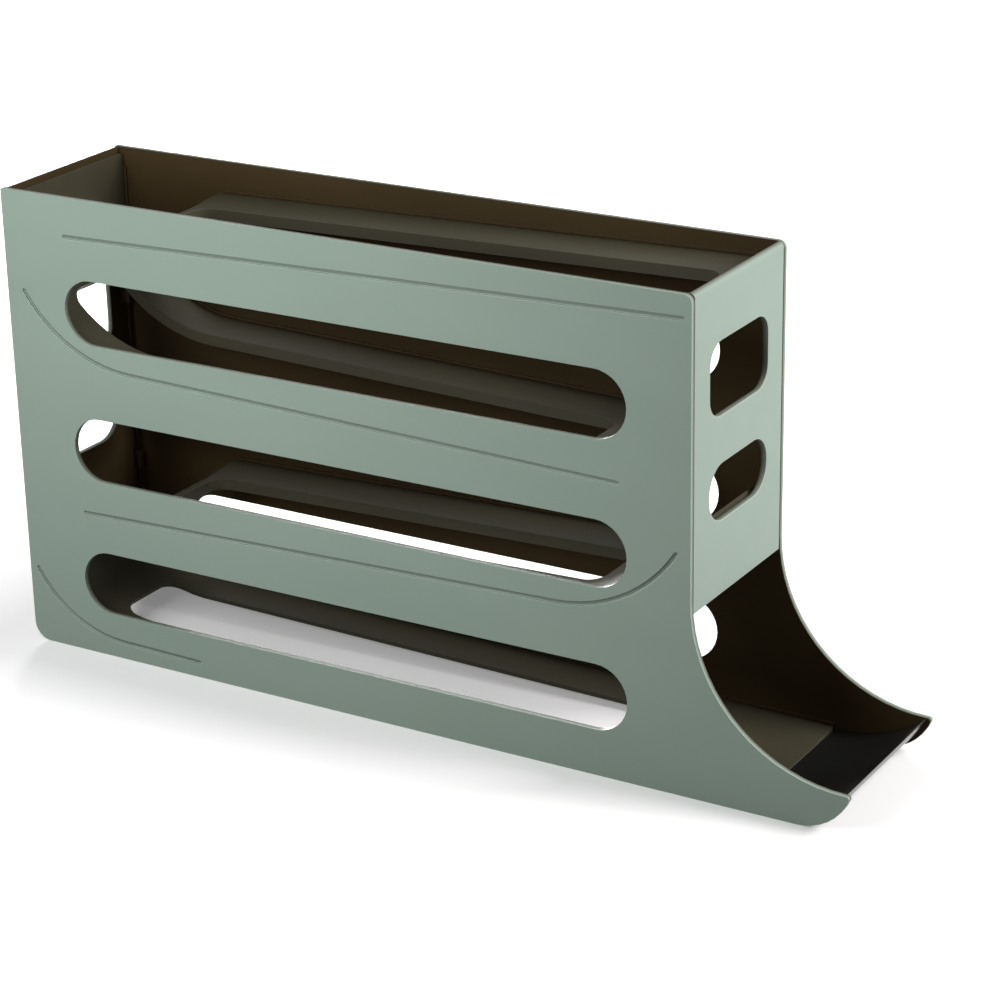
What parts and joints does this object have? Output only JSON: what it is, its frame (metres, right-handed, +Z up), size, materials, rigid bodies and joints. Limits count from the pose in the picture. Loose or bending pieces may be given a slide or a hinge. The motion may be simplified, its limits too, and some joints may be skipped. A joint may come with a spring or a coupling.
{
  "type": "rolling egg dispenser",
  "caption": "Narrow green rack whose sloped ramps let eggs roll back and forth from an open top down to a lipped exit at the front.",
  "frame": {"origin": "middle of the footprint, on the surface that the rack stands on", "axes": "+X from the back to the exit, +Y from the near plate to the far plate, +Z up"},
  "size_m": [0.4, 0.082, 0.2093],
  "materials": {
    "green": "satin",
    "olive": "satin",
    "black": "gloss"
  },
  "bodies": {
    "root": {"side_plate_near": "green", "side_plate_far": "green", "front_panel": "green", "rear_panel": "green", "ramp_top": "olive", "ramp_upper_middle": "olive", "ramp_lower_middle": "olive", "ramp_bottom": "olive", "exit_lip": "black"}
  },
  "joints": []
}
